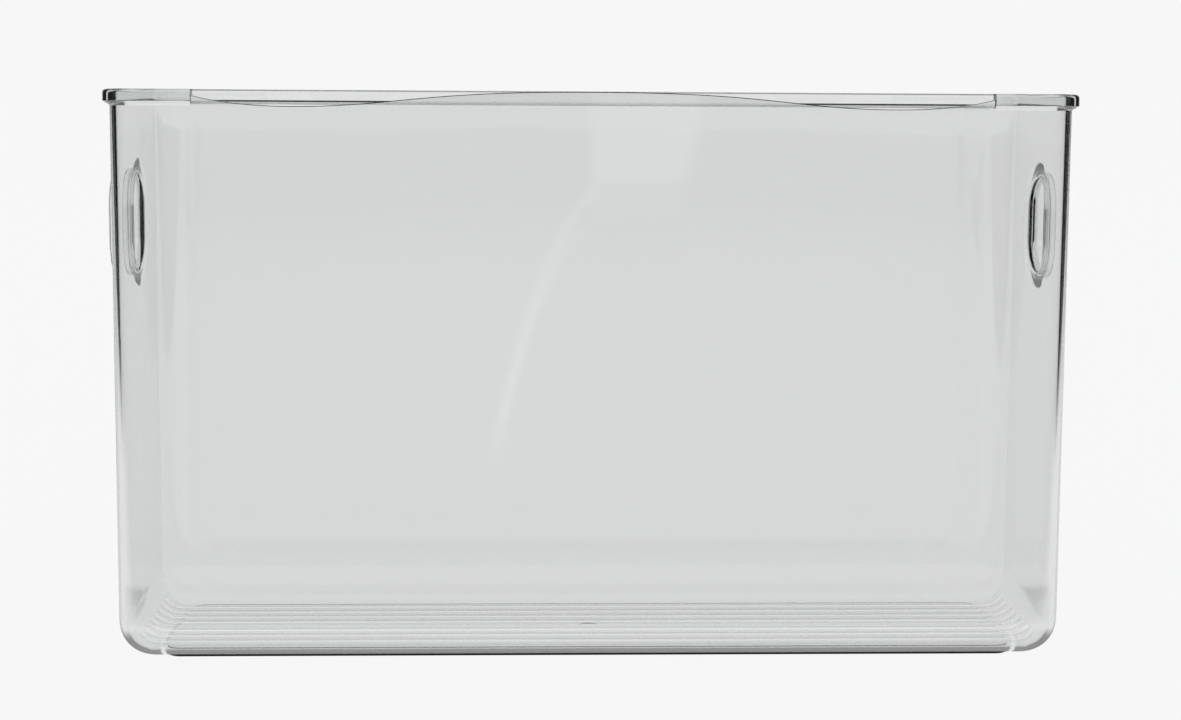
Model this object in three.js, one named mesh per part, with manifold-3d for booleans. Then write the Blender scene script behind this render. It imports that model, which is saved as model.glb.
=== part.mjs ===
// A clear storage bin, moulded in one piece: drafted walls, a rolled rim, a waved front edge,
// a lipped finger hole in each end wall, a ribbed floor and a low foot.
// Lengths are in millimetres. +X runs along the bin, the front is at -Y and +Z is up.
// The origin is the middle of the face that the bin stands on.
import * as THREE from "three";
import { mergeVertices } from "three/addons/utils/BufferGeometryUtils.js";
import Module from "manifold-3d";

const wasm = await Module();
wasm.setup();

// Walls and floor. Lengths and depths are taken over the walls at the height of the rim.
const overall_height = 225;
const wall_length = 374.6;
const wall_depth = 101;
const wall_thickness = 2.4;
const floor_thickness = 2;
const corner_radius = 13.6;
const draft_set_in = 1.7;

// Round edges between the walls and the flat of the base
const edge_height = 15.6;
const end_edge_width = 13.5;
const side_edge_width = 16.5;
const flat_corner_radius = 2;

// Rolled rim, and where it stops on the front
const rim_proud = 2.7;
const rim_face_height = 4.6;
const rim_underside_height = 1.8;
const rim_edge_radius = 1.6;

// Waved front edge, as drops below the top of the rim
const wave_half_length = 153.7;
const wave_hump_drop = 0.6;
const wave_dip_place = 117;
const wave_dip_drop = 6.3;
const wave_end_drop = 2.4;
const wave_hump_handle_share = 0.6;
const wave_dip_handle_share = 0.35;
const wave_rise_handle_share = 0.45;
const wave_end_handle_share = 0.2;
const wave_end_slope_share = 0.27;

// Finger holes in the end walls
const hole_width = 25;
const hole_height = 39;
const hole_drop = 54.2;
const hole_edge_radius = 1;
const lip_proud = 6.6;
const lip_root_radius = 4.6;
const lip_edge_radius = 1;

// Foot under the base
const foot_height = 1.6;
const foot_end_inset = 3.1;
const foot_side_inset = 0;
const foot_taper = 0.5;
const foot_corner_radius = 6;

// Floor ribs, which run along the bin and climb the round edge at each end
const rib_count = 8;
const rib_pitch = 7.4;
const rib_width = 3;
const rib_height = 0.15;
const rib_climb = 4;

// Mark that the mould's gate leaves under the foot
const gate_radius = 4;
const gate_depth = 0.6;

// Cuts run past what they cut by this much, and joined bodies reach into each other by it
const overrun = 3;
const sink = 0.8;

const corner_steps = 9;
const edge_steps = 7;
const roll_steps = 5;
const hole_steps = 10;
const wave_steps = 14;
const quarter_turn = Math.PI / 2;

const clear_plastic = new THREE.MeshStandardMaterial({
  name: "clear_plastic",
  color: 0xeef1f1,
  roughness: 0.04,
  metalness: 0,
  transparent: true,
  opacity: 0.35,
});

// How far the draft has drawn a wall in at a height
function drawnIn(height) {
  return (draft_set_in * (overall_height - height)) / overall_height;
}

// A rounded rectangle seen from above, as points that run anticlockwise
function roundedRectangle(halfLength, halfDepth, radius, height) {
  const points = [];
  const corners = [
    [1, 1],
    [-1, 1],
    [-1, -1],
    [1, -1],
  ];
  corners.forEach(([sideX, sideY], quarter) => {
    for (let step = 0; step <= corner_steps; step++) {
      const angle = (quarter + step / corner_steps) * quarter_turn;
      const x = sideX * (halfLength - radius) + radius * Math.cos(angle);
      const y = sideY * (halfDepth - radius) + radius * Math.sin(angle);
      points.push(new THREE.Vector3(x, y, height));
    }
  });
  return points;
}

// The closed body through a stack of rings, which run anticlockwise as seen from the last one
function loft(rings) {
  const count = rings[0].length;
  const positions = [];
  const triangles = [];
  const middle = (ring) =>
    ring
      .reduce((sum, point) => sum.add(point), new THREE.Vector3())
      .divideScalar(ring.length);
  rings.flat().forEach((point) => positions.push(...point));
  positions.push(...middle(rings[0]), ...middle(rings.at(-1)));
  const firstMiddle = rings.length * count;
  const lastMiddle = firstMiddle + 1;
  const lastRing = (rings.length - 1) * count;
  for (let side = 0; side < count; side++) {
    const next = (side + 1) % count;
    for (let ring = 0; ring < lastRing; ring += count) {
      const above = ring + count;
      triangles.push(ring + side, ring + next, above + next);
      triangles.push(ring + side, above + next, above + side);
    }
    triangles.push(firstMiddle, next, side);
    triangles.push(lastMiddle, lastRing + side, lastRing + next);
  }
  const geometry = new THREE.BufferGeometry();
  geometry.setAttribute("position", new THREE.Float32BufferAttribute(positions, 3));
  geometry.setIndex(triangles);
  return geometry;
}

// A closed geometry as a solid that can be joined and cut
function solid(geometry) {
  const bare = geometry.clone();
  bare.deleteAttribute("normal");
  bare.deleteAttribute("uv");
  const merged = mergeVertices(bare, 1e-4);
  return new wasm.Manifold(
    new wasm.Mesh({
      numProp: 3,
      vertProperties: merged.attributes.position.array,
      triVerts: new Uint32Array(merged.index.array),
    }),
  );
}

function meshOf(body, name, material) {
  const { vertProperties, triVerts } = body.getMesh();
  const geometry = new THREE.BufferGeometry();
  geometry.setAttribute("position", new THREE.BufferAttribute(vertProperties, 3));
  geometry.setIndex(new THREE.BufferAttribute(triVerts, 1));
  const mesh = new THREE.Mesh(geometry, material);
  mesh.name = name;
  return mesh;
}

// Rings of the tub from its flat base up round the edge to the top. setIn is 0 for the outside
// and the wall's thickness for the inside.
function tubRings(setIn, base, top) {
  const endWidth = Math.max(end_edge_width - setIn, flat_corner_radius);
  const sideWidth = Math.max(side_edge_width - setIn, flat_corner_radius);
  const climb = foot_height + edge_height - base;
  const rings = [];
  for (let step = 0; step <= edge_steps; step++) {
    const angle = (step / edge_steps) * quarter_turn;
    const inset_share = 1 - Math.sin(angle);
    const height = base + climb * (1 - Math.cos(angle));
    const inward = setIn + drawnIn(height);
    const radius = Math.max(corner_radius - inward, flat_corner_radius);
    rings.push(
      roundedRectangle(
        wall_length / 2 - inward - endWidth * inset_share,
        wall_depth / 2 - inward - sideWidth * inset_share,
        radius - (radius - flat_corner_radius) * inset_share,
        height,
      ),
    );
  }
  const inward = setIn + drawnIn(top);
  const radius = Math.max(corner_radius - inward, flat_corner_radius);
  rings.push(
    roundedRectangle(wall_length / 2 - inward, wall_depth / 2 - inward, radius, top),
  );
  return rings;
}

// The rim as a plug as wide as the bin: a slanted underside, a face and a round top edge
function rimPlug() {
  const underside = overall_height - rim_face_height - rim_underside_height;
  const ring = (proud, height) =>
    roundedRectangle(
      wall_length / 2 + proud,
      wall_depth / 2 + proud,
      corner_radius + proud,
      height,
    );
  const rings = [
    ring(-drawnIn(underside), underside),
    ring(rim_proud, overall_height - rim_face_height),
  ];
  for (let step = 0; step <= roll_steps; step++) {
    const angle = (step / roll_steps) * quarter_turn;
    rings.push(
      ring(
        rim_proud - rim_edge_radius * (1 - Math.cos(angle)),
        overall_height - rim_edge_radius * (1 - Math.sin(angle)),
      ),
    );
  }
  return solid(loft(rings));
}

// The stretch of the front that has no rim, from outside the rim into the wall
function rimGap() {
  const height = rim_face_height + rim_underside_height + 2 * overrun;
  const depth = rim_proud + overrun + wall_thickness / 2;
  const box = new THREE.BoxGeometry(2 * wave_half_length, depth, height);
  box.translate(
    0,
    -(wall_depth / 2 - wall_thickness / 2 + depth / 2),
    overall_height + overrun - height / 2,
  );
  return solid(box);
}

// What is cut off the front wall above its waved edge
function waveCut() {
  const shape = new THREE.Shape();
  const hump = overall_height - wave_hump_drop;
  const dip = overall_height - wave_dip_drop;
  const end = overall_height - wave_end_drop;
  const top = overall_height + overrun;
  const hump_handle = wave_dip_place * wave_hump_handle_share;
  const dip_handle = wave_dip_place * (1 - wave_dip_handle_share);
  const rise = wave_half_length - wave_dip_place;
  const rise_handle = wave_dip_place + rise * wave_rise_handle_share;
  const end_handle = wave_half_length - rise * wave_end_handle_share;
  const before_end = end - rise * wave_end_handle_share * wave_end_slope_share;
  shape.moveTo(-wave_half_length, top);
  shape.lineTo(-wave_half_length, end);
  shape.bezierCurveTo(-end_handle, before_end, -rise_handle, dip, -wave_dip_place, dip);
  shape.bezierCurveTo(-dip_handle, dip, -hump_handle, hump, 0, hump);
  shape.bezierCurveTo(hump_handle, hump, dip_handle, dip, wave_dip_place, dip);
  shape.bezierCurveTo(rise_handle, dip, end_handle, before_end, wave_half_length, end);
  shape.lineTo(wave_half_length, top);
  shape.closePath();
  const geometry = new THREE.ExtrudeGeometry(shape, {
    depth: wall_depth / 2 + rim_proud + overrun,
    curveSegments: wave_steps,
    bevelEnabled: false,
  });
  geometry.rotateX(quarter_turn);
  return solid(geometry);
}

// The outline of a finger hole, grown by some amount, at a distance outside the end wall.
// It leans with the wall's draft.
function holeRing(grown, outward) {
  const height = overall_height - hole_drop;
  const wall = wall_length / 2 - drawnIn(height);
  const radius = hole_width / 2 + grown;
  const straight = (hole_height - hole_width) / 2;
  const slope_share = draft_set_in / overall_height;
  const points = [];
  [1, -1].forEach((side, half) => {
    for (let step = 0; step <= hole_steps; step++) {
      const angle = (half + step / hole_steps) * 2 * quarter_turn;
      const up = side * straight + radius * Math.sin(angle);
      const x = wall + outward + up * slope_share;
      points.push(new THREE.Vector3(x, radius * Math.cos(angle), height + up));
    }
  });
  return points;
}

// The lip that stands out round the hole, with a round root on the wall and a rounded end
function holeLip() {
  const rings = [holeRing(wall_thickness + lip_root_radius, -wall_thickness / 2)];
  for (let step = 0; step <= roll_steps; step++) {
    const angle = (step / roll_steps) * quarter_turn;
    rings.push(
      holeRing(
        wall_thickness + lip_root_radius * (1 - Math.sin(angle)),
        lip_root_radius * (1 - Math.cos(angle)),
      ),
    );
  }
  for (let step = 0; step <= roll_steps; step++) {
    const angle = (step / roll_steps) * quarter_turn;
    rings.push(
      holeRing(
        wall_thickness - lip_edge_radius * (1 - Math.cos(angle)),
        lip_proud - lip_edge_radius * (1 - Math.sin(angle)),
      ),
    );
  }
  return loft(rings);
}

// What is cut through the wall and the lip, with a rounded edge at both ends
function holeCut() {
  const rings = [holeRing(hole_edge_radius, -wall_thickness - overrun)];
  for (let step = 0; step <= roll_steps; step++) {
    const angle = (step / roll_steps) * quarter_turn;
    rings.push(
      holeRing(
        hole_edge_radius * (1 - Math.sin(angle)),
        hole_edge_radius * (1 - Math.cos(angle)) - wall_thickness,
      ),
    );
  }
  for (let step = 0; step <= roll_steps; step++) {
    const angle = (step / roll_steps) * quarter_turn;
    rings.push(
      holeRing(
        lip_edge_radius * (1 - Math.cos(angle)),
        lip_proud - lip_edge_radius * (1 - Math.sin(angle)),
      ),
    );
  }
  rings.push(holeRing(lip_edge_radius, lip_proud + overrun));
  return loft(rings);
}

// The same body at both ends of the bin
function atBothEnds(geometry) {
  const other = geometry.clone().rotateZ(2 * quarter_turn);
  return solid(geometry).add(solid(other));
}

function foot() {
  const flatLength = wall_length / 2 - drawnIn(foot_height) - end_edge_width;
  const flatDepth = wall_depth / 2 - drawnIn(foot_height) - side_edge_width;
  const ring = (taper, height) =>
    roundedRectangle(
      flatLength - foot_end_inset - taper,
      flatDepth - foot_side_inset - taper,
      foot_corner_radius - taper,
      height,
    );
  return solid(
    loft([ring(foot_taper, 0), ring(0, foot_height), ring(0, foot_height + sink)]),
  );
}

// One floor rib seen from the front: a band of even height along the floor and up both ends
function ribOutline() {
  const floor = foot_height + floor_thickness;
  const reach = end_edge_width - wall_thickness;
  const climb = edge_height - floor_thickness;
  const centreHeight = floor + climb;
  const centrePlace = wall_length / 2 - wall_thickness - drawnIn(centreHeight) - reach;
  const turn = Math.acos(Math.max(1 - rib_climb / climb, 0));
  const shape = new THREE.Shape();
  const arc = (side, grown, from, to, clockwise) =>
    shape.absellipse(
      side * centrePlace,
      centreHeight,
      reach + grown,
      climb + grown,
      from,
      to,
      clockwise,
      0,
    );
  const down = -quarter_turn;
  arc(-1, sink, down - turn, down, false);
  arc(1, sink, down, down + turn, false);
  arc(1, -rib_height, down + turn, down, true);
  arc(-1, -rib_height, down, down - turn, true);
  shape.closePath();
  return shape;
}

function floorRibs() {
  const geometry = new THREE.ExtrudeGeometry(ribOutline(), {
    depth: rib_width,
    curveSegments: roll_steps,
    bevelEnabled: false,
  });
  geometry.rotateX(quarter_turn);
  const ribs = [];
  for (let rib = 0; rib < rib_count; rib++) {
    const place = (rib - (rib_count - 1) / 2) * rib_pitch;
    ribs.push(solid(geometry.clone().translate(0, place + rib_width / 2, 0)));
  }
  return ribs;
}

// A shallow dish in the underside
function gateMark() {
  const profile = [
    new THREE.Vector2(0, -overrun),
    new THREE.Vector2(gate_radius, -overrun),
    new THREE.Vector2(gate_radius, 0),
    new THREE.Vector2(gate_radius - gate_depth, gate_depth),
    new THREE.Vector2(0, gate_depth),
  ];
  const geometry = new THREE.LatheGeometry(profile, 4 * roll_steps);
  geometry.rotateX(quarter_turn);
  return solid(geometry);
}

function binBody() {
  const floor = foot_height + floor_thickness;
  const outside = solid(loft(tubRings(0, foot_height, overall_height)));
  const inside = solid(
    loft(tubRings(wall_thickness, floor, overall_height + overrun)),
  );
  let body = outside.add(rimPlug().subtract(rimGap())).subtract(inside);
  body = body.subtract(waveCut());
  body = body.add(atBothEnds(holeLip())).subtract(atBothEnds(holeCut()));
  body = body.add(foot()).subtract(gateMark());
  floorRibs().forEach((rib) => {
    body = body.add(rib);
  });
  return body;
}

const bin = new THREE.Group();
bin.add(meshOf(binBody(), "bin_body", clear_plastic));

export default bin;
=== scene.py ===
# %% [markdown]
# # A clear storage bin
# This lesson dresses a clear plastic bin: a long, narrow, open-topped box that was moulded in one
# piece. Its walls lean out a little, a rolled rim runs round the back and the ends, the front edge is
# a shallow wave, and each end has a finger hole whose edge is rolled outwards.
# Clear plastic shows nothing of its own: what the eye reads is how the walls bend, mirror and dim what
# lies behind them. So the skin has to be smooth, closed and as thick as the real wall.

# %% The frame
import math

import bmesh
import bpy
from mathutils import Matrix, Vector


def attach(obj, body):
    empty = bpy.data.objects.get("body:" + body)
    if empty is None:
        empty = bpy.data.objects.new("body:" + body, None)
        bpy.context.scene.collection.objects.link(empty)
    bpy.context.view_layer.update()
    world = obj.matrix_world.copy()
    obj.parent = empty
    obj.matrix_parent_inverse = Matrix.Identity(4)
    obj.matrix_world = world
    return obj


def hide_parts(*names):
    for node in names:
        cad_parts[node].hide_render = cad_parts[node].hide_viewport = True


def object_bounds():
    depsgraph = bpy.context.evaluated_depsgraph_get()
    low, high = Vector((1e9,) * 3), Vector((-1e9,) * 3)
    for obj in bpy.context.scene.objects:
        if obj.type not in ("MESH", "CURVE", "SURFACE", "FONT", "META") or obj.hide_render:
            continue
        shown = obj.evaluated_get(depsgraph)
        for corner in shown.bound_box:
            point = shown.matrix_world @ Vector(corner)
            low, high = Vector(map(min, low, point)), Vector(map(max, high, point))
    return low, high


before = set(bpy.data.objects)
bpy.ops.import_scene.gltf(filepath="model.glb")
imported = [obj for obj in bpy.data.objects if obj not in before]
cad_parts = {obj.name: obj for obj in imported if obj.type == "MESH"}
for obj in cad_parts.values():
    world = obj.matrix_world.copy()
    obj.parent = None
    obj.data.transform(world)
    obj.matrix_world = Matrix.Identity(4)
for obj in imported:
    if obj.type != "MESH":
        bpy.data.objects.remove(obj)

cad_low, cad_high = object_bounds()
mm = 0.001
print("frame box in mm:", [round(v / mm, 1) for v in (*cad_low, *cad_high)])

# %% [markdown]
# ## Sizes
# The overall height and depth are read from the frame, so the dressed bin can't drift away from the
# solid that it stands for. The rest are the mould's own sizes: wall, draft, radii and drops below the
# rim.

# %% Sizes of the bin
overall_height = cad_high.z - cad_low.z
rim_proud = 2.7 * mm
wall_depth = cad_high.y - cad_low.y - 2 * rim_proud
wall_length = 374.6 * mm
wall_thickness = 2.4 * mm
floor_thickness = 2 * mm
corner_radius = 13.6 * mm
draft_set_in = 1.7 * mm
edge_height = 15.6 * mm
end_edge_width = 13.5 * mm
side_edge_width = 16.5 * mm
flat_corner_radius = 2 * mm
foot_height = 1.6 * mm
floor_height = foot_height + floor_thickness
overrun = 3 * mm
full_turn = 2 * math.pi
quarter_turn = full_turn / 4
corner_steps = 16
edge_steps = 14
roll_steps = 8
merge_reach = 0.002 * mm


def drawn_in(height):
    """How far the draft has drawn a wall in at a height."""
    return draft_set_in * (overall_height - height) / overall_height


print("walls in mm:", round(wall_length / mm, 1), "by", round(wall_depth / mm, 1))

# %% [markdown]
# ## A small way to write sums in node trees
# Geometry Nodes can hold a formula, but a Math node for each sign is hard to read. `Field` wraps the
# output of a node, so that Python's own signs make the Math nodes. The trees below then read like the
# formulas that they are.


# %% Sums in node trees
class Field:
    """A number in a node tree, on which +, -, * and / make Math nodes."""

    def __init__(self, tree, socket):
        self.tree = tree
        self.socket = socket

    def math(self, operation, *others):
        node = self.tree.nodes.new("ShaderNodeMath")
        node.operation = operation
        for socket, value in zip(node.inputs, (self, *others)):
            feed(self.tree, socket, value)
        return Field(self.tree, node.outputs[0])

    def __add__(self, other):
        return self.math("ADD", other)

    def __sub__(self, other):
        return self.math("SUBTRACT", other)

    def __mul__(self, other):
        return self.math("MULTIPLY", other)

    def __truediv__(self, other):
        return self.math("DIVIDE", other)


def feed(tree, socket, value):
    """Puts a number, a socket or a Field into a node's input."""
    if isinstance(value, Field):
        value = value.socket
    if isinstance(value, bpy.types.NodeSocket):
        tree.links.new(value, socket)
    else:
        socket.default_value = value


def node(tree, kind, settings=None, **inputs):
    """A new node with its settings, and its inputs by name (an underscore stands for a space)."""
    made = tree.nodes.new(kind)
    for name, value in (settings or {}).items():
        setattr(made, name, value)
    for name, value in inputs.items():
        feed(tree, made.inputs[name.replace("_", " ")], value)
    return made


def vector(tree, x, y, z):
    made = node(tree, "ShaderNodeCombineXYZ", X=x, Y=y, Z=z)
    return made.outputs[0]


def new_tree(name, sizes):
    """A Geometry Nodes tree with named inputs: name to (kind of socket, first value)."""
    tree = bpy.data.node_groups.new(name, "GeometryNodeTree")
    tree.interface.new_socket("Geometry", in_out="OUTPUT", socket_type="NodeSocketGeometry")
    for label, (kind, value) in sizes.items():
        socket = tree.interface.new_socket(label, in_out="INPUT", socket_type=kind)
        if value is not None:
            socket.default_value = value
    entry = tree.nodes.new("NodeGroupInput")
    values = {label: Field(tree, entry.outputs[label]) for label in sizes}
    return tree, values


def end_tree(tree, geometry, material):
    """Real geometry, in its material, to the tree's output."""
    real = node(tree, "GeometryNodeRealizeInstances", Geometry=geometry)
    painted = node(
        tree, "GeometryNodeSetMaterial", Geometry=real.outputs[0], Material=material
    )
    leave = tree.nodes.new("NodeGroupOutput")
    tree.links.new(painted.outputs[0], leave.inputs["Geometry"])


def plain_mesh(tree, values, name):
    """What a tree makes with these input values, as an object with a plain mesh."""
    holder = bpy.data.objects.new(name, bpy.data.meshes.new(name))
    bpy.context.scene.collection.objects.link(holder)
    modifier = holder.modifiers.new(name, "NODES")
    modifier.node_group = tree
    for item in tree.interface.items_tree:
        if item.in_out == "INPUT" and item.name in values:
            modifier[item.identifier] = values[item.name]
    bpy.context.view_layer.update()
    seen = holder.evaluated_get(bpy.context.evaluated_depsgraph_get())
    made = bpy.data.meshes.new_from_object(seen)
    holder.modifiers.clear()
    holder.data = made
    return holder


# %% [markdown]
# ## The clear plastic
# The real stuff is polished clear plastic. Three things make it more than "glass": a grey that deepens
# where light runs a long way inside a wall, very slow waves in the surface from how the plastic flowed
# in the mould, and a haze of fine scratches from use. The grey is a real absorption inside the body. A
# tint on the skin alone would darken a thin wall and a thick rim alike. The waves and scratches are
# noise and bump on the skin, measured in Object coordinates so that they keep their size.


# %% Fine scratches
scratch_turn = (0.3, 0.5, 0.2)
scratch_stretch = (60, 60, 9)
scratch_share = 0.55
scratch_line_width = 0.012
scratch_patch_scale = 23.0


def fine_scratches(tree, coordinates, turn, scale, share):
    """A mask of thin lines: a stretched Voronoi cell edge, shown only in patches."""
    turned = node(tree, "ShaderNodeMapping", Vector=coordinates)
    turned.inputs["Rotation"].default_value = turn
    turned.inputs["Scale"].default_value = scale
    cells = node(
        tree, "ShaderNodeTexVoronoi", {"feature": "DISTANCE_TO_EDGE"},
        Vector=turned.outputs[0], Scale=1.0, Randomness=1.0,
    )
    line = node(
        tree, "ShaderNodeMapRange", Value=cells.outputs["Distance"],
        From_Min=0.0, From_Max=scratch_line_width, To_Min=1.0, To_Max=0.0,
    )
    patches = node(
        tree, "ShaderNodeTexNoise", Vector=coordinates, Scale=scratch_patch_scale, Detail=2.0
    )
    shown = node(
        tree, "ShaderNodeMapRange", Value=patches.outputs[0],
        From_Min=1.0 - share, From_Max=1.0 - share / 2, To_Min=0.0, To_Max=1.0,
    )
    return Field(tree, line.outputs[0]) * Field(tree, shown.outputs[0])


# %% Clear plastic
clear_tones = ((0.97, 0.975, 0.975), (0.99, 0.99, 0.985))
inner_grey = (0.5, 0.52, 0.52)
inner_grey_density = 72.0
refraction = 1.58
haze_scale = 9.0
haze_range = (0.3, 0.7)
haze_roughness = 0.02
scratch_roughness = 0.05
scratch_depth = 0.02 * mm
scratch_strength = 0.12
tint_scale = 5.0
flow_stretch = (5, 5, 2.4)
flow_scale = 1.6
flow_depth = 0.4 * mm


def clear_plastic():
    material = bpy.data.materials.new("clear_plastic")
    material.use_nodes = True
    tree = material.node_tree
    shader = tree.nodes["Principled BSDF"]
    shader.inputs["Transmission Weight"].default_value = 1.0
    shader.inputs["IOR"].default_value = refraction
    shader.inputs["Metallic"].default_value = 0.0
    place = node(tree, "ShaderNodeTexCoord").outputs["Object"]

    haze = node(tree, "ShaderNodeTexNoise", Vector=place, Scale=haze_scale, Detail=4.0)
    scratches = fine_scratches(tree, place, scratch_turn, scratch_stretch, scratch_share)
    gloss = node(
        tree, "ShaderNodeMapRange", Value=haze.outputs[0],
        From_Min=haze_range[0], From_Max=haze_range[1], To_Min=0.0, To_Max=haze_roughness,
    )
    rough = Field(tree, gloss.outputs[0]) + scratches * scratch_roughness
    feed(tree, shader.inputs["Roughness"], rough)

    tint = node(tree, "ShaderNodeTexNoise", Vector=place, Scale=tint_scale, Detail=3.0)
    colours = node(tree, "ShaderNodeMix", {"data_type": "RGBA"}, Factor=tint.outputs[0])
    colours.inputs[6].default_value = (*clear_tones[0], 1)
    colours.inputs[7].default_value = (*clear_tones[1], 1)
    feed(tree, shader.inputs["Base Color"], colours.outputs[2])

    stretched = node(tree, "ShaderNodeMapping", Vector=place)
    stretched.inputs["Scale"].default_value = flow_stretch
    flow = node(
        tree, "ShaderNodeTexNoise", Vector=stretched.outputs[0], Scale=flow_scale, Detail=1.0
    )
    waves = node(
        tree, "ShaderNodeBump", Height=flow.outputs[0], Strength=1.0, Distance=flow_depth
    )
    marks = node(
        tree, "ShaderNodeBump", Height=scratches, Strength=scratch_strength,
        Distance=scratch_depth, Normal=waves.outputs[0],
    )
    feed(tree, shader.inputs["Normal"], marks.outputs[0])

    inside = node(tree, "ShaderNodeVolumeAbsorption", Density=inner_grey_density)
    inside.inputs["Color"].default_value = (*inner_grey, 1)
    tree.links.new(inside.outputs[0], tree.nodes["Material Output"].inputs["Volume"])
    return material


plastic = clear_plastic()
print("plastic has", len(plastic.node_tree.nodes), "nodes")

# %% [markdown]
# ## A closed skin through rings
# Seen from above, every level of the bin is a rounded rectangle, and only its size and corner change
# with height. That is a rule, so Geometry Nodes make it: a capped cylinder gives the closed skin, and
# each of its points is moved to its place on the ring of its level. The rings come as a small mesh
# whose points hold half a length, half a depth and a height, with the corner as an attribute. The same
# tree makes the outside, the inside, the rim, the foot and the rolled edge of the finger holes.


# %% Tree: skin through rings
rounding_guard = 0.001


def skin_tree():
    """A tree that makes a closed body through the rings of a small mesh."""
    tree, size = new_tree(
        "Skin through rings",
        {
            "Rings": ("NodeSocketObject", None),
            "Corner steps": ("NodeSocketInt", corner_steps),
            "Material": ("NodeSocketMaterial", None),
        },
    )
    steps = size["Corner steps"]
    rings = node(tree, "GeometryNodeObjectInfo", Object=size["Rings"]).outputs["Geometry"]
    levels = node(tree, "GeometryNodeAttributeDomainSize", Geometry=rings)
    gaps = Field(tree, levels.outputs["Point Count"]) - 1
    around = (steps + 1) * 4
    tube = node(
        tree, "GeometryNodeMeshCylinder", {"fill_type": "NGON"},
        Vertices=around, Side_Segments=gaps, Radius=1.0, Depth=1.0,
    )
    spot = node(
        tree, "ShaderNodeSeparateXYZ", Vector=node(tree, "GeometryNodeInputPosition").outputs[0]
    )
    x, y, z = (Field(tree, output) for output in spot.outputs)
    turned = y.math("ARCTAN2", x) / full_turn * around
    place = turned.math("ROUND").math("FLOORED_MODULO", around)
    quarter = (place / (steps + 1) + rounding_guard).math("FLOOR")
    turn = (quarter + (place - quarter * (steps + 1)) / steps) * quarter_turn
    level = ((z + 0.5) * gaps).math("ROUND")

    half_sizes = node(
        tree, "GeometryNodeSampleIndex", {"data_type": "FLOAT_VECTOR", "domain": "POINT"},
        Geometry=rings, Index=level,
    )
    feed(tree, half_sizes.inputs["Value"], node(tree, "GeometryNodeInputPosition").outputs[0])
    corner = node(
        tree, "GeometryNodeSampleIndex", {"data_type": "FLOAT", "domain": "POINT"},
        Geometry=rings, Index=level,
    )
    named = node(tree, "GeometryNodeInputNamedAttribute", {"data_type": "FLOAT"}, Name="corner")
    feed(tree, corner.inputs["Value"], named.outputs[0])
    radius = Field(tree, corner.outputs[0])
    split = node(tree, "ShaderNodeSeparateXYZ", Vector=half_sizes.outputs[0])
    half_length, half_depth, height = (Field(tree, output) for output in split.outputs)

    diagonal = (quarter + 0.5) * quarter_turn
    side_x = diagonal.math("COSINE").math("SIGN")
    side_y = diagonal.math("SINE").math("SIGN")
    ring_x = side_x * (half_length - radius) + radius * turn.math("COSINE")
    ring_y = side_y * (half_depth - radius) + radius * turn.math("SINE")
    moved = node(
        tree, "GeometryNodeSetPosition", Geometry=tube.outputs["Mesh"],
        Position=vector(tree, ring_x, ring_y, height),
    )
    merged = node(
        tree, "GeometryNodeMergeByDistance", Geometry=moved.outputs[0], Distance=merge_reach
    )
    end_tree(tree, merged.outputs[0], size["Material"])
    return tree


skin = skin_tree()


def skin_through(rings, name, steps=corner_steps):
    """A closed body through rings: (half length, half depth, height, corner radius)."""
    levels = bpy.data.meshes.new(name + "_levels")
    levels.from_pydata([ring[:3] for ring in rings], [], [])
    corners = levels.attributes.new("corner", "FLOAT", "POINT")
    corners.data.foreach_set("value", [ring[3] for ring in rings])
    guide = bpy.data.objects.new(name + "_levels", levels)
    bpy.context.scene.collection.objects.link(guide)
    body = plain_mesh(skin, {"Rings": guide, "Corner steps": steps, "Material": plastic}, name)
    bpy.data.objects.remove(guide)
    print(name, len(rings), "rings,", len(body.data.polygons), "faces")
    return body


# %% [markdown]
# ## The tub
# The outside and the inside are the same shape, one wall apart. From the flat of the base the rings
# climb a quarter turn round the edge, which is wider at the ends than along the sides, and then go
# straight to the top while the draft lets them grow.


# %% Outside and inside of the tub
def tub_rings(set_in, base, top):
    end_width = end_edge_width - set_in
    side_width = side_edge_width - set_in
    climb = foot_height + edge_height - base
    rings = []
    for step in range(edge_steps + 1):
        turn = step / edge_steps * quarter_turn
        inset_share = 1 - math.sin(turn)
        height = base + climb * (1 - math.cos(turn))
        inward = set_in + drawn_in(height)
        corner = corner_radius - inward
        rings.append((
            wall_length / 2 - inward - end_width * inset_share,
            wall_depth / 2 - inward - side_width * inset_share,
            height,
            corner - (corner - flat_corner_radius) * inset_share,
        ))
    inward = set_in + drawn_in(top)
    rings.append((
        wall_length / 2 - inward, wall_depth / 2 - inward, top, corner_radius - inward
    ))
    return rings


outside = skin_through(tub_rings(0, foot_height, overall_height), "outside")
inside = skin_through(
    tub_rings(wall_thickness, floor_height, overall_height + overrun), "inside"
)

# %% [markdown]
# ## The rim
# The rim stiffens the top: a slanted underside, a flat face and a round outer edge. It is made as a
# plug as wide as the bin and joined to the outside, and the inside is cut away later. On the front it
# stops near each corner, so a block first takes its middle away.

# %% Rim
rim_face_height = 4.6 * mm
rim_underside_height = 1.8 * mm
rim_edge_radius = 1.6 * mm
wave_half_length = 153.7 * mm


def rim_rings():
    underside = overall_height - rim_face_height - rim_underside_height
    profile = [
        (-drawn_in(underside), underside),
        (rim_proud, overall_height - rim_face_height),
    ]
    for step in range(roll_steps + 1):
        turn = step / roll_steps * quarter_turn
        profile.append((
            rim_proud - rim_edge_radius * (1 - math.cos(turn)),
            overall_height - rim_edge_radius * (1 - math.sin(turn)),
        ))
    return [
        (wall_length / 2 + proud, wall_depth / 2 + proud, height, corner_radius + proud)
        for proud, height in profile
    ]


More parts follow.
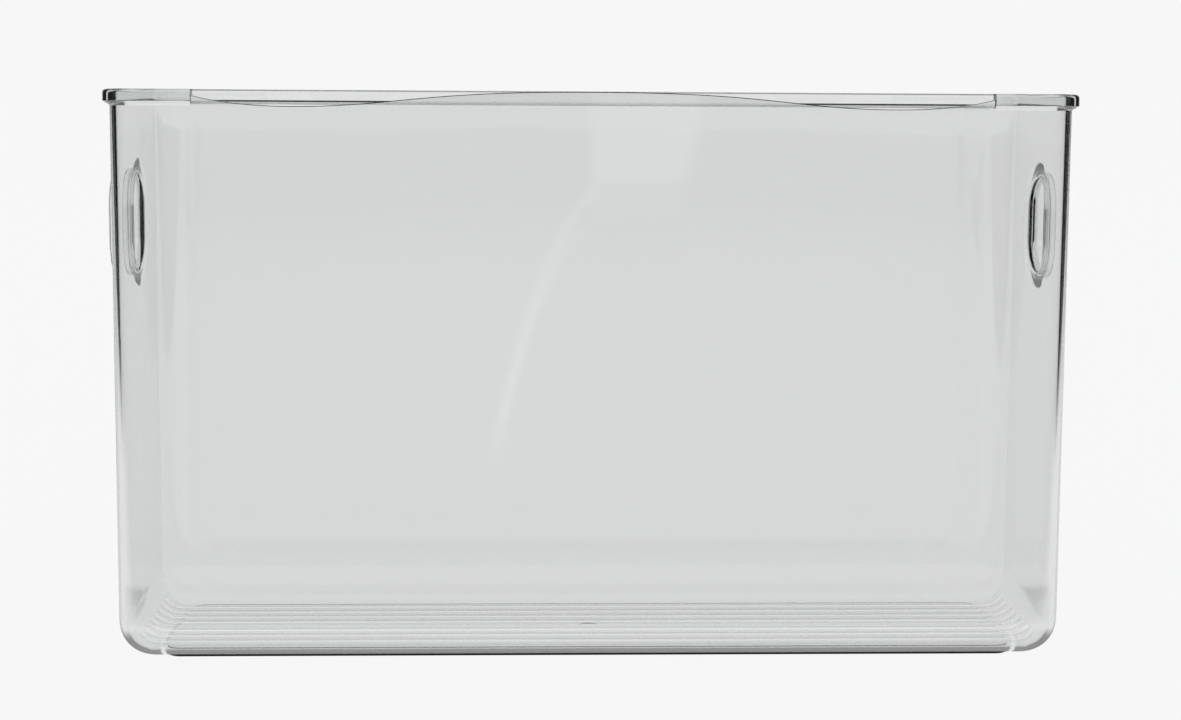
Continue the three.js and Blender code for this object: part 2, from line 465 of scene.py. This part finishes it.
def as_object(shape, name):
    """An object from a finished bmesh shape."""
    mesh = bpy.data.meshes.new(name)
    shape.to_mesh(mesh)
    shape.free()
    made = bpy.data.objects.new(name, mesh)
    bpy.context.scene.collection.objects.link(made)
    return made


def block(name, low, high):
    """A box between two corners, used only to cut."""
    shape = bmesh.new()
    bmesh.ops.create_cube(shape, size=1)
    for corner in shape.verts:
        for axis in range(3):
            corner.co[axis] = high[axis] if corner.co[axis] > 0 else low[axis]
    return as_object(shape, name)


rim = skin_through(rim_rings(), "rim")
rim_gap = block(
    "rim_gap",
    (-wave_half_length, -wall_depth / 2 - rim_proud - overrun, overall_height - 4 * overrun),
    (wave_half_length, -wall_depth / 2 + wall_thickness / 2, overall_height + overrun),
)

# %% [markdown]
# ## The waved front edge
# Between the two rim ends the front wall stops at a wave: a low hump in the middle that almost reaches
# the rim, and a dip on each side. Four Bezier curves draw it, and what lies above them is cut off the
# front wall.

# %% Wave
wave_hump_drop = 0.2 * mm
wave_dip_place = 117 * mm
wave_dip_drop = 6.3 * mm
wave_end_drop = 2.4 * mm
wave_hump_handle_share = 0.6
wave_dip_handle_share = 0.35
wave_rise_handle_share = 0.45
wave_end_handle_share = 0.2
wave_end_slope_share = 0.27
wave_steps = 28


def bezier(a, b, c, d, share):
    rest = 1 - share
    weights = (rest ** 3, 3 * rest * rest * share, 3 * rest * share * share, share ** 3)
    return sum((Vector(p) * w for p, w in zip((a, b, c, d), weights)), Vector((0, 0)))


def wave_line():
    """The waved edge from left to right, as (place along the bin, height)."""
    hump = overall_height - wave_hump_drop
    dip = overall_height - wave_dip_drop
    end = overall_height - wave_end_drop
    rise = wave_half_length - wave_dip_place
    end_reach = rise * wave_end_handle_share
    half = []
    pieces = (
        (
            (0, hump), (wave_dip_place * wave_hump_handle_share, hump),
            (wave_dip_place * (1 - wave_dip_handle_share), dip), (wave_dip_place, dip),
        ),
        (
            (wave_dip_place, dip), (wave_dip_place + rise * wave_rise_handle_share, dip),
            (wave_half_length - end_reach, end - end_reach * wave_end_slope_share),
            (wave_half_length, end),
        ),
    )
    for piece in pieces:
        half.extend(bezier(*piece, step / wave_steps) for step in range(1, wave_steps + 1))
    left = [(-p.x, p.y) for p in reversed(half)]
    return left + [(0, hump)] + [(p.x, p.y) for p in half]


def prism(name, outline, front, back):
    """A closed body between two copies of an outline that stands in the plane of X and Z."""
    shape = bmesh.new()
    near = [shape.verts.new((x, front, z)) for x, z in outline]
    far = [shape.verts.new((x, back, z)) for x, z in outline]
    shape.faces.new(near)
    shape.faces.new(far[::-1])
    for first in range(len(outline)):
        second = (first + 1) % len(outline)
        shape.faces.new((near[second], near[first], far[first], far[second]))
    bmesh.ops.recalc_face_normals(shape, faces=shape.faces)
    return as_object(shape, name)


top = overall_height + overrun
wave_cut = prism(
    "wave_cut",
    wave_line() + [(wave_half_length, top), (-wave_half_length, top)],
    -wall_depth / 2 - rim_proud - overrun,
    0,
)
print("wave has", len(wave_line()), "points")

# %% [markdown]
# ## The wave's inner edge
# The inner edge of the wave is slightly slanted, by about a quarter of a millimetre. Light that meets
# the slant is mirrored down into the wall and doesn't come back, so this thin strip draws the dark line
# by which the eye finds the front edge of clear plastic. A bevel would need the edge to be picked out
# of the joined skin. A three-sided bar that follows the wave is simpler: it takes the edge off like any
# other cut.

# %% Slanted inner edge
wave_chamfer = 0.27 * mm
bar_reach = 1 * mm
bar_sides = 3


def slanted_bar(name, path, width):
    """A three-sided bar along the wave, which takes the inner edge off at a slant."""
    shape = bmesh.new()
    rows = []
    for x, z in path:
        inner = -wall_depth / 2 + wall_thickness + drawn_in(z)
        corners = (
            (inner - width - bar_reach, z + bar_reach),
            (inner + bar_reach, z + bar_reach),
            (inner + bar_reach, z - width - bar_reach),
        )
        rows.append([shape.verts.new((x, y, height)) for y, height in corners])
    shape.faces.new(rows[0])
    shape.faces.new(rows[-1][::-1])
    for first, second in zip(rows, rows[1:]):
        for corner in range(bar_sides):
            after = (corner + 1) % bar_sides
            shape.faces.new((first[corner], first[after], second[after], second[corner]))
    bmesh.ops.recalc_face_normals(shape, faces=shape.faces)
    return as_object(shape, name)


wave_bar = slanted_bar("wave_bar", wave_line(), wave_chamfer)
print("bar along the wave:", len(wave_bar.data.polygons), "faces")

# %% [markdown]
# ## The finger holes
# Each end wall has an upright hole with a lip that stands out round it, so that fingers meet a broad
# round edge. The lip grows out of the wall over a wide root and ends in a small round. Both the lip and
# the hole through it are skins through rings again, built upright and then laid on their side, with the
# lean of the end wall put in by the same matrix.

# %% Finger holes
hole_width = 25 * mm
hole_height = 39 * mm
hole_drop = 54.2 * mm
hole_edge_radius = 1 * mm
lip_proud = 6.6 * mm
lip_root_radius = 4.6 * mm
lip_edge_radius = 1 * mm
hole_steps = 20


def hole_rings(profile):
    """Rings of the hole's outline, from (how much it has grown, how far outside the wall)."""
    return [
        (hole_height / 2 + grown, hole_width / 2 + grown, outward, hole_width / 2 + grown)
        for grown, outward in profile
    ]


def quarter_profile(point_at):
    return [point_at(step / roll_steps * quarter_turn) for step in range(roll_steps + 1)]


def lip_profile():
    start = [(wall_thickness + lip_root_radius, -wall_thickness / 2)]
    root = quarter_profile(lambda turn: (
        wall_thickness + lip_root_radius * (1 - math.sin(turn)),
        lip_root_radius * (1 - math.cos(turn)),
    ))
    edge = quarter_profile(lambda turn: (
        wall_thickness - lip_edge_radius * (1 - math.cos(turn)),
        lip_proud - lip_edge_radius * (1 - math.sin(turn)),
    ))
    return start + root + edge


def cut_profile():
    start = [(hole_edge_radius, -wall_thickness - overrun)]
    inner_edge = quarter_profile(lambda turn: (
        hole_edge_radius * (1 - math.sin(turn)),
        hole_edge_radius * (1 - math.cos(turn)) - wall_thickness,
    ))
    edge = quarter_profile(lambda turn: (
        lip_edge_radius * (1 - math.cos(turn)),
        lip_proud - lip_edge_radius * (1 - math.sin(turn)),
    ))
    return start + inner_edge + edge + [(lip_edge_radius, lip_proud + overrun)]


def onto_end_wall(side):
    """Lays a body that was built upright on the end wall at side +1 or -1, leaning as it does."""
    height = overall_height - hole_drop
    lean_share = draft_set_in / overall_height
    lie_down = Matrix(((0, 0, 1, 0), (0, 1, 0, 0), (-1, 0, 0, 0), (0, 0, 0, 1)))
    lean = Matrix.Identity(4)
    lean[0][2] = lean_share
    out = Matrix.Translation((wall_length / 2 - drawn_in(height), 0, height))
    half_turn = Matrix.Rotation(0 if side > 0 else math.pi, 4, "Z")
    return half_turn @ out @ lean @ lie_down


def at_both_ends(profile, name):
    bodies = []
    for side in (1, -1):
        full_name = f"{name}_{'right' if side > 0 else 'left'}"
        body = skin_through(hole_rings(profile), full_name, hole_steps)
        body.data.transform(onto_end_wall(side))
        bodies.append(body)
    return bodies


lips = at_both_ends(lip_profile(), "lip")
holes = at_both_ends(cut_profile(), "hole")

# %% [markdown]
# ## Foot and gate mark
# The bin stands on a low pad under the flat of its base. Its sides are all but upright: a slope would
# trap light inside the floor and show through it as a dark band. In the middle of the pad is the small
# dish that the mould's gate leaves.

# %% Foot
foot_end_inset = 3.1 * mm
foot_taper = 0.01 * mm
foot_corner_radius = 6 * mm
gate_radius = 4 * mm
gate_depth = 0.6 * mm
sink = 0.8 * mm


def foot_rings():
    flat_length = wall_length / 2 - drawn_in(foot_height) - end_edge_width
    flat_depth = wall_depth / 2 - drawn_in(foot_height) - side_edge_width
    levels = ((foot_taper, 0), (0, foot_height), (0, foot_height + sink))
    return [
        (
            flat_length - foot_end_inset - taper,
            flat_depth - taper,
            height,
            foot_corner_radius - taper,
        )
        for taper, height in levels
    ]


def dish_rings():
    levels = ((gate_radius, -overrun), (gate_radius, 0), (gate_radius - gate_depth, gate_depth))
    return [(radius, radius, height, radius) for radius, height in levels]


foot = skin_through(foot_rings(), "foot")
gate_dish = skin_through(dish_rings(), "gate_dish")

# %% [markdown]
# ## Floor ribs
# Shallow ribs run along the floor and climb the round edge at each end. They repeat, so Geometry Nodes
# make them: one path from its two arcs and the straight between them, a section swept along it, and a
# row of copies across the bin. The section is a raised cosine on a flat root, so that it swells out of
# the floor without an edge: a ridge with an edge would draw a hard black line in clear plastic.

# %% Tree: floor ribs
rib_count = 8
rib_pitch = 7.4 * mm
rib_width = 3 * mm
rib_height = 0.22 * mm
rib_dip = 0.015 * mm
rib_section_steps = 11
rib_climb = 4 * mm
rib_path_steps = 10


def rib_section(tree, size):
    """A closed section: a raised cosine over the floor and a flat root under it."""
    last = rib_section_steps
    ring = node(tree, "GeometryNodeCurvePrimitiveCircle", Resolution=(last + 1) * 2)
    index = Field(tree, node(tree, "GeometryNodeInputIndex").outputs[0])
    above = index.math("LESS_THAN", last + 0.5)
    below = above * -1 + 1
    step = above * index + below * (index * -1 + (2 * last + 1))
    across = step / last - 0.5
    swell = (across * full_turn).math("COSINE") * 0.5 + 0.5
    height = above * (swell * size["Rib height"] - rib_dip) - below * size["Root"]
    shaped = node(
        tree, "GeometryNodeSetPosition", Geometry=ring.outputs[0],
        Position=vector(tree, across * size["Rib width"] * -1, height * -1, 0.0),
    )
    return shaped.outputs[0]


def rib_tree():
    tree, size = new_tree(
        "Floor ribs",
        {
            "Straight half": ("NodeSocketFloat", 0.1),
            "Edge width": ("NodeSocketFloat", 0.01),
            "Edge height": ("NodeSocketFloat", 0.01),
            "Turn": ("NodeSocketFloat", 0.5),
            "Rib width": ("NodeSocketFloat", 0.003),
            "Rib height": ("NodeSocketFloat", 0.001),
            "Root": ("NodeSocketFloat", 0.001),
            "Pitch": ("NodeSocketFloat", 0.01),
            "Count": ("NodeSocketInt", 1),
            "Arc steps": ("NodeSocketInt", rib_path_steps),
            "Material": ("NodeSocketMaterial", None),
        },
    )
    steps = size["Arc steps"]
    line = node(tree, "GeometryNodeCurvePrimitiveLine")
    path = node(
        tree, "GeometryNodeResampleCurve", Curve=line.outputs[0], Count=(steps + 1) * 2
    )
    index = Field(tree, node(tree, "GeometryNodeInputIndex").outputs[0])
    along = index - steps - 0.5
    side = along.math("SIGN")
    turn = (along.math("ABSOLUTE") - 0.5) / steps * size["Turn"]
    x = side * (size["Straight half"] + size["Edge width"] * turn.math("SINE"))
    z = size["Edge height"] - size["Edge height"] * turn.math("COSINE")
    bent = node(
        tree, "GeometryNodeSetPosition", Geometry=path.outputs[0], Position=vector(tree, x, 0.0, z)
    )
    upright = node(tree, "GeometryNodeSetCurveNormal", {"mode": "Z_UP"}, Curve=bent.outputs[0])
    rib = node(
        tree, "GeometryNodeCurveToMesh", Curve=upright.outputs[0],
        Profile_Curve=rib_section(tree, size), Fill_Caps=True,
    )
    row = node(
        tree, "GeometryNodeMeshLine", Count=size["Count"],
        Offset=vector(tree, 0.0, size["Pitch"], 0.0),
        Start_Location=vector(tree, 0.0, size["Pitch"] * (size["Count"] - 1) * -0.5, 0.0),
    )
    copies = node(
        tree, "GeometryNodeInstanceOnPoints", Points=row.outputs[0], Instance=rib.outputs[0]
    )
    end_tree(tree, copies.outputs[0], size["Material"])
    return tree


inner_width = end_edge_width - wall_thickness
inner_height = edge_height - floor_thickness
ribs = plain_mesh(
    rib_tree(),
    {
        "Straight half": wall_length / 2 - wall_thickness - drawn_in(floor_height) - inner_width,
        "Edge width": inner_width,
        "Edge height": inner_height,
        "Turn": math.acos(1 - rib_climb / inner_height),
        "Rib width": rib_width,
        "Rib height": rib_height,
        "Root": sink,
        "Pitch": rib_pitch,
        "Count": rib_count,
        "Material": plastic,
    },
    "ribs",
)
ribs.data.transform(Matrix.Translation((0, 0, floor_height)))
rib_low, rib_high = (
    [pick(v.co[axis] for v in ribs.data.vertices) / mm for axis in range(3)] for pick in (min, max)
)
print("ribs:", len(ribs.data.polygons), "faces, box in mm", [round(v, 2) for v in rib_low + rib_high])

# %% [markdown]
# ## One moulding
# The real bin came out of one mould, so its bodies are joined and cut into one closed skin. Clear
# plastic punishes shortcuts here: two bodies that merely overlap would show the wall of one inside the
# other.


# %% Joining and cutting
def join_or_cut(body, steps):
    """Joins other bodies to this one, or cuts them away, and leaves a plain mesh."""
    for operation, other in steps:
        step = body.modifiers.new(other.name, "BOOLEAN")
        step.operation = operation
        step.solver = "MANIFOLD"
        step.object = other
    bpy.context.view_layer.update()
    seen = body.evaluated_get(bpy.context.evaluated_depsgraph_get())
    made = bpy.data.meshes.new_from_object(seen)
    body.modifiers.clear()
    body.data = made
    for _, other in steps:
        bpy.data.objects.remove(other)
    shape = bmesh.new()
    shape.from_mesh(made)
    print(body.name, len(steps), "steps:", round(shape.calc_volume() / mm ** 3 / 1000, 2), "cm3")
    shape.free()
    return body


join_or_cut(rim, [("DIFFERENCE", rim_gap)])
join_or_cut(outside, [("UNION", rim), ("DIFFERENCE", inside), ("DIFFERENCE", wave_cut)])
join_or_cut(outside, [("DIFFERENCE", wave_bar)])
join_or_cut(outside, [("UNION", lip) for lip in lips])
join_or_cut(outside, [("DIFFERENCE", hole) for hole in holes])
join_or_cut(outside, [("UNION", foot), ("DIFFERENCE", gate_dish), ("UNION", ribs)])
bin_skin = outside
bin_skin.name = "bin_skin"
print("bin skin:", len(bin_skin.data.polygons), "faces")

# %% [markdown]
# ## Smooth shading
# Faces that meet at a shallow angle belong to one smooth surface, and the rest meet at a real edge. A
# large flat wall beside a narrow round strip must keep its own flat normal, so the normals are weighted
# by the size of the faces.


# %% Smooth normals
seam_reach = 0.001 * mm
sharp_from_degrees = 32
large_face_weight = 100


def smooth_by_size(body):
    """Smooth faces, sharp edges from an angle on, and normals that favour the large faces."""
    mesh = body.data
    mesh.materials.clear()
    mesh.materials.append(plastic)
    shape = bmesh.new()
    shape.from_mesh(mesh)
    bmesh.ops.remove_doubles(shape, verts=shape.verts, dist=seam_reach)
    bmesh.ops.dissolve_degenerate(shape, edges=shape.edges, dist=seam_reach)
    open_edges = [edge for edge in shape.edges if len(edge.link_faces) != 2]
    for face in shape.faces:
        face.smooth = True
        face.material_index = 0
    for edge in shape.edges:
        sharp = edge.calc_face_angle(0.0) > math.radians(sharp_from_degrees)
        edge.smooth = not sharp
    print("edges that don't join two faces:", len(open_edges))
    shape.to_mesh(mesh)
    shape.free()
    weigh = body.modifiers.new("weigh", "WEIGHTED_NORMAL")
    weigh.keep_sharp = True
    weigh.weight = large_face_weight
    bpy.context.view_layer.update()
    graph = bpy.context.evaluated_depsgraph_get()
    seen = body.evaluated_get(graph)
    made = bpy.data.meshes.new_from_object(seen, preserve_all_data_layers=True, depsgraph=graph)
    body.modifiers.clear()
    body.data = made


smooth_by_size(bin_skin)
print("bin skin after smoothing:", len(bin_skin.data.polygons), "faces")

# %% [markdown]
# ## Riding on the frame
# The skin is one piece. It rides on the only body of the frame, stands for its only node, and takes
# the plastic's slot.

# %% Riding on the frame
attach(bin_skin, "root")
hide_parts("bin_body")
print("piece:", bin_skin.name)

# %% [markdown]
# ## Floor, backdrop and light
# The bin stands on a plain pale floor that runs on into a backdrop of the same tone. The camera, and
# light that only passes through the plastic, see that tone. Light that was mirrored on its way sees a
# studio instead: pale behind, dark in front and aside. That is what draws the dark edges of clear
# plastic. Real black cards round the bin would do the same, but they would also darken what is seen
# straight through it.

# %% Who sees what
backdrop_tone = 0.93
crossings_that_veil = 3.5


def sees_backdrop(tree):
    """0 for rays that were mirrored on their way, 1 for all others and for light off matt paint."""
    path = node(tree, "ShaderNodeLightPath")
    mirrored = Field(tree, path.outputs["Glossy Depth"]).math("GREATER_THAN", 0.5)
    scattered = Field(tree, path.outputs["Is Diffuse Ray"])
    return (mirrored * (scattered * -1 + 1) * -1) + 1


def is_veiled(tree):
    """1 for rays that have come through more than one wall, which has two surfaces to cross."""
    path = node(tree, "ShaderNodeLightPath")
    crossings = Field(tree, path.outputs["Transmission Depth"])
    return crossings.math("GREATER_THAN", crossings_that_veil)


def band(tree, value, start, end):
    """0 before start, 1 beyond end, and smooth between."""
    step = node(
        tree, "ShaderNodeMapRange", {"interpolation_type": "SMOOTHSTEP"}, Value=value,
        From_Min=start, From_Max=end, To_Min=0.0, To_Max=1.0,
    )
    return Field(tree, step.outputs[0])


# %% [markdown]
# ### The room round the bin
# The world is the room that mirrored light sees, by direction alone: pale towards the backdrop, dim
# overhead and aside, nearly black in front, with a pale strip low in front. Light that has already
# come through more than one wall sees a pale veil instead, because each wall softens what it passes
# on. So the rim is black where it is seen over the front edge, and soft where it is seen through it.

# %% World
side_tone = 0.06
front_room_tone = 0.03
low_room_tone = 0.85
veiled_tone = 1.0
behind_band = (0.74, 0.86)
before_band = (0.1, 0.5)
low_band = (0.25, 0.35)


def studio_tone(tree, direction):
    """Pale towards the backdrop, dim overhead and aside, and nearly black in front but for a strip."""
    x, y, z = (
        Field(tree, output) for output in node(tree, "ShaderNodeSeparateXYZ", Vector=direction).outputs
    )
    behind = band(tree, y, *behind_band)
    before = band(tree, y * -1, *before_band)
    low = (band(tree, z, *low_band) * -1 + 1) * before
    veiled = is_veiled(tree)
    open_room = before * (front_room_tone - side_tone) + side_tone
    room = open_room + low * (low_room_tone - front_room_tone)
    around = veiled * veiled_tone + (veiled * -1 + 1) * room
    return behind * backdrop_tone + (behind * -1 + 1) * around


def lit_world():
    world = bpy.data.worlds.new("studio")
    bpy.context.scene.world = world
    world.use_nodes = True
    tree = world.node_tree
    background = tree.nodes["Background"]
    direction = node(tree, "ShaderNodeTexCoord").outputs["Generated"]
    seen = sees_backdrop(tree)
    tone = seen * backdrop_tone + (seen * -1 + 1) * studio_tone(tree, direction)
    grey = node(tree, "ShaderNodeCombineColor", Red=tone, Green=tone, Blue=tone)
    feed(tree, background.inputs["Color"], grey.outputs[0])
    background.inputs["Strength"].default_value = 1.0
    return tree


print("world has", len(lit_world().nodes), "nodes")

# %% [markdown]
# ### A painted reflection of a pale stand
# A polished wall shows a faint picture of what stands before it. Here that is a painted reflection of
# one pale stand, a thin bent line that runs away from the bin and ends in a broad head. Painted on the
# table for mirrored light alone, it needs no object, and it can't get in the way of another view.

# %% Painted reflection of a stand
# Place, size and tone of the painted reflection of a stand, drawn on the table for mirrored light.
stand_start = 0.355
stand_length = 2.775
stand_drift = 0.164
stand_offset = 0.047
stand_bend = 0.115
stand_reach = 0.75
stand_width_share = 0.0045
painted_reflection_tone = 0.3
line_edge = (0.3, 1.0)
line_fade_in = (0.0, 0.06)
line_fade_out = (0.8, 1.0)
head_left_edge = (0.03, 0.036)
head_right_edge = (0.085, 0.1)
head_front_edge = (3.0, 3.4)


def painted_stand_reflection(tree, x, y):
    """Painted reflection: a thin bent line that runs away from the bin, then a broad head."""
    before = y * -1
    along = (before - stand_start) / stand_length
    bend = along * (along * -1 + 1) * stand_bend
    middle = along * stand_drift - stand_offset - bend
    half_width = (before + stand_reach) * stand_width_share
    off_line = band(tree, (x - middle).math("ABSOLUTE") / half_width, *line_edge)
    on_length = band(tree, along, *line_fade_in) * (band(tree, along, *line_fade_out) * -1 + 1)
    line = (off_line * -1 + 1) * on_length
    aside = x / before
    head = band(tree, aside, *head_left_edge) * (band(tree, aside, *head_right_edge) * -1 + 1)
    return line.math("MAXIMUM", head * band(tree, before, *head_front_edge))


stand_end = stand_start + stand_length
print("stand in m before the bin's middle:", stand_start, "to", round(stand_end, 2))

# %% [markdown]
# ### The table under the bin
# Mirrored light sees a pale table that widens towards the back and is dark beyond its edges, with a
# shade under the bin. The shade draws the thin dark line along the base. It leaves out a narrow strip
# at each end of the foot, because the foot's upright ends would mirror it up through the clear floor.

# %% Table
dark_table_tone = 0.015
table_half_width = 0.45
table_spread_share = 0.6
table_front = 0.06
table_front_fade = 0.06
table_edge_fade = 0.35
veil_half_width = 0.5
veil_fade = 0.2
veil_spread_share = 0.3
far_table_band = (1.0, 4.0)
far_table_drop = 0.45
shade_length = 0.19
shade_depth = 0.055
shade_fade = 0.02
shade_tone = 0.33
foot_end = wall_length / 2 - draft_set_in - end_edge_width - foot_end_inset
foot_gap_half = 0.6 * mm


def bare_table(tree, x, y):
    """Pale on the table, dark beyond its edges, and veiled for light from behind two walls."""
    reach = y.math("MAXIMUM", 0.0) * table_spread_share + table_half_width
    across = band(tree, x.math("ABSOLUTE") - reach, 0.0, table_edge_fade)
    before = band(tree, y * -1, table_front, table_front + table_front_fade)
    dark = across.math("MAXIMUM", before)
    veil_reach = (y * -1).math("MAXIMUM", 0.0) * veil_spread_share + veil_half_width
    inner = band(tree, x.math("ABSOLUTE") - veil_reach, 0.0, veil_fade) * -1 + 1
    far = band(tree, y * -1, *far_table_band) * far_table_drop
    veil = far * -1 + (veiled_tone - dark_table_tone)
    dark_tone = inner * is_veiled(tree) * veil + dark_table_tone
    return (dark * -1 + 1) * backdrop_tone + dark * dark_tone


def out_of_shade(tree, x, y):
    """1 beside the bin and in the narrow strips at the foot's ends, 0 under the rest of it."""
    outside_length = band(tree, x.math("ABSOLUTE"), shade_length, shade_length + shade_fade)
    outside_depth = band(tree, y.math("ABSOLUTE"), shade_depth, shade_depth + shade_fade)
    from_foot_end = (x.math("ABSOLUTE") - foot_end).math("ABSOLUTE")
    off_foot_end = band(tree, from_foot_end, foot_gap_half, 2 * foot_gap_half)
    beside = outside_length.math("MAXIMUM", outside_depth)
    return beside.math("MAXIMUM", off_foot_end * -1 + 1)


def table_tone(tree, place):
    """What mirrored light sees on the floor."""
    x, y, _ = (
        Field(tree, output) for output in node(tree, "ShaderNodeSeparateXYZ", Vector=place).outputs
    )
    # The painted reflection of a pale stand is added to the table, for mirrored light only.
    open_table = bare_table(tree, x, y) + painted_stand_reflection(tree, x, y) * painted_reflection_tone
    beside = out_of_shade(tree, x, y)
    return beside * open_table + (beside * -1 + 1) * shade_tone


print("foot's end in mm from the middle:", round(foot_end / mm, 1))

# %% [markdown]
# ### The floor itself
# The floor glows by itself at the backdrop's tone, so that the two meet without a line, and has just
# enough matt paint to take a trace of shadow. It lies a hair below the foot, because two faces in one
# plane would flicker.

# %% Floor
floor_reach = 40.0
floor_gap = 0.05 * mm
floor_glow = 0.917
floor_tone = 0.015


def pale_floor():
    mesh = bpy.data.meshes.new("floor")
    reach = floor_reach
    mesh.from_pydata(
        [(-reach, -reach, 0), (reach, -reach, 0), (reach, reach, 0), (-reach, reach, 0)],
        [], [(0, 1, 2, 3)],
    )
    floor = bpy.data.objects.new("floor", mesh)
    bpy.context.scene.collection.objects.link(floor)
    floor.location.z = cad_low.z - floor_gap
    material = bpy.data.materials.new("pale_floor")
    material.use_nodes = True
    tree = material.node_tree
    tree.nodes.remove(tree.nodes["Principled BSDF"])
    matt = node(tree, "ShaderNodeBsdfDiffuse")
    matt.inputs["Color"].default_value = (floor_tone, floor_tone, floor_tone, 1)
    glow = node(tree, "ShaderNodeEmission", Strength=floor_glow)
    lit = node(tree, "ShaderNodeAddShader")
    tree.links.new(matt.outputs[0], lit.inputs[0])
    tree.links.new(glow.outputs[0], lit.inputs[1])
    place = node(tree, "ShaderNodeTexCoord").outputs["Object"]
    plain = node(tree, "ShaderNodeEmission", Strength=table_tone(tree, place))
    mixed = node(tree, "ShaderNodeMixShader", Fac=sees_backdrop(tree))
    tree.links.new(plain.outputs[0], mixed.inputs[1])
    tree.links.new(lit.outputs[0], mixed.inputs[2])
    tree.links.new(mixed.outputs[0], tree.nodes["Material Output"].inputs["Surface"])
    mesh.materials.append(material)
    return tree


print("floor has", len(pale_floor().nodes), "nodes")

# %% [markdown]
# ## Lamp
# The floor and the world already give the light, so one weak, large, soft lamp behind the bin is
# enough for a trace of shadow. It isn't seen in mirrors or through the plastic, where it would draw
# a bright shape that the bin doesn't have.

# %% Lamp
lamp_place = (0.3, 2.2, 2.6)
lamp_target = (0, 0, 0.1)
lamp_size = (1.6, 1.0)
lamp_power = 8


def soft_lamp(name, place, target, size, power):
    data = bpy.data.lights.new(name, "AREA")
    data.shape = "RECTANGLE"
    data.size, data.size_y = size
    data.energy = power
    lamp = bpy.data.objects.new(name, data)
    bpy.context.scene.collection.objects.link(lamp)
    lamp.location = place
    lamp.rotation_euler = (Vector(target) - Vector(place)).to_track_quat("-Z", "Y").to_euler()
    lamp.visible_glossy = False
    lamp.visible_transmission = False
    return lamp


rear_lamp = soft_lamp("rear_lamp", lamp_place, lamp_target, lamp_size, lamp_power)
print("lamp:", rear_lamp.name, rear_lamp.data.energy, "W")

# %% [markdown]
# ## Camera
# The camera stands level with the rim, a little left of the middle, turned slightly to the right and
# tipped down by four degrees. Its place and lens come from fitting a pinhole camera to the outline,
# which is surer than moving a camera by eye. The small shift keeps the uprights as they are.

# %% Camera
camera_place = Vector((-24.5, -755.1, 224.3)) * mm
camera_yaw, camera_pitch, camera_roll = (math.radians(v) for v in (1.85, 3.91, 0.35))
image_width = 1181
focal_pixels = 1841
raised_pixels = 141
film_width = 36


def photo_camera():
    data = bpy.data.cameras.new("camera")
    data.sensor_width = film_width
    data.lens = focal_pixels / image_width * data.sensor_width
    data.shift_y = -raised_pixels / image_width
    camera = bpy.data.objects.new("camera", data)
    bpy.context.scene.collection.objects.link(camera)
    level = math.cos(camera_pitch)
    forward = Vector((
        math.sin(camera_yaw) * level, math.cos(camera_yaw) * level, -math.sin(camera_pitch)
    ))
    right = Vector((math.cos(camera_yaw), -math.sin(camera_yaw), 0))
    up = right.cross(forward)
    rolled_right = right * math.cos(camera_roll) + up * math.sin(camera_roll)
    rolled_up = up * math.cos(camera_roll) - right * math.sin(camera_roll)
    turn = Matrix((rolled_right, rolled_up, -forward)).transposed().to_4x4()
    camera.matrix_world = Matrix.Translation(camera_place) @ turn
    bpy.context.scene.camera = camera


photo_camera()
print("lens in mm:", round(bpy.context.scene.camera.data.lens, 1))

# %% [markdown]
# ## Bounces
# Light in clear plastic is mirrored and bent many times before it leaves. With too few bounces the
# thick places turn black, so both counts are well above the usual ones.

# %% Bounces and view
wall_bounces = 32
mirror_bounces = 16
scene = bpy.context.scene
scene.view_settings.view_transform = "Standard"
scene.cycles.max_bounces = wall_bounces
scene.cycles.transmission_bounces = wall_bounces
scene.cycles.glossy_bounces = mirror_bounces
print("bounces:", wall_bounces, "through walls,", mirror_bounces, "mirrored")
